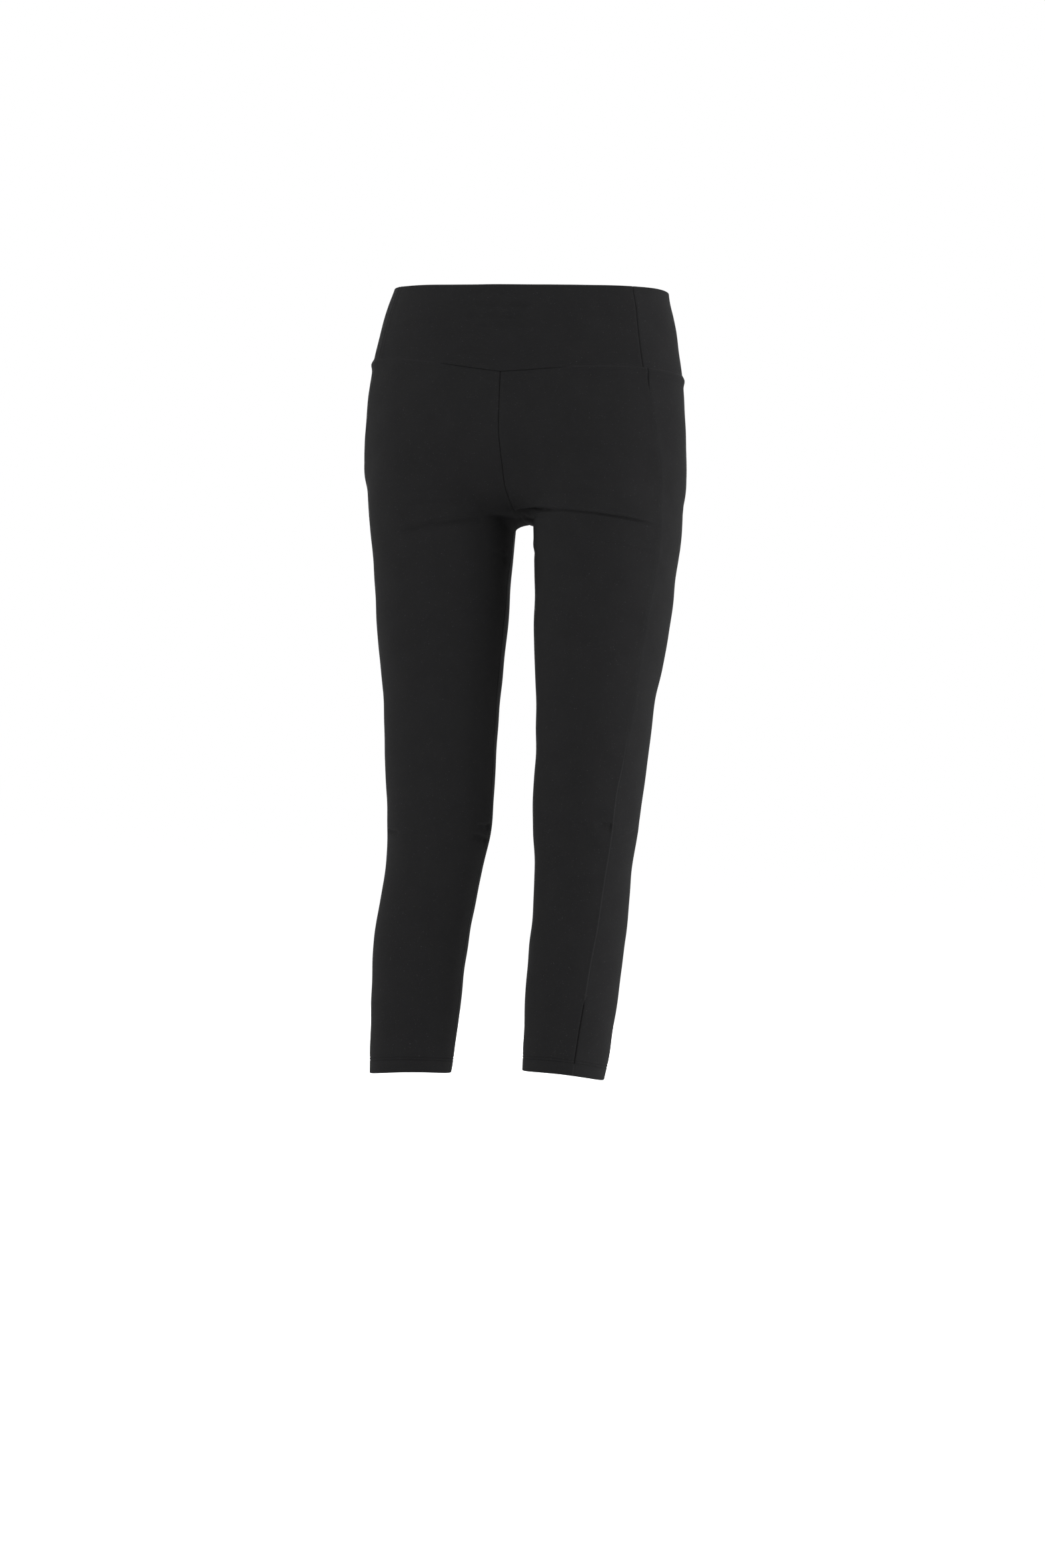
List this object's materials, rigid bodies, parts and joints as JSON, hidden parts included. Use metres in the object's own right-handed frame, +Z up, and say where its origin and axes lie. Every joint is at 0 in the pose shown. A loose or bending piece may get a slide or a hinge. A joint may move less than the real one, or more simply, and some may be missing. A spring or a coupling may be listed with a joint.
{
  "type": "leggings",
  "caption": "High-waisted seven-eighths stretch leggings with a wide double-layer waistband, forward side seams and cover-stitched hems, filled out and hollow.",
  "frame": {"origin": "centre of the waist opening, level with its top edge, where the wearer's waist holds the garment", "axes": "+Z up the standing garment, -Y towards the front, +X towards the wearer's left"},
  "size_m": [0.373, 0.224, 0.8903],
  "materials": {
    "leg_jersey": "matt black stretch jersey with a soft sheen at grazing angles",
    "waistband_jersey": "the same matt black stretch jersey, in two layers",
    "sewing_thread": "fine black polyester thread, slightly lustrous"
  },
  "bodies": {
    "root": {"waistband_front": "waistband_jersey", "waistband_back": "waistband_jersey", "front_left": "leg_jersey", "front_right": "leg_jersey", "back_left": "leg_jersey", "back_right": "leg_jersey"}
  },
  "joints": []
}
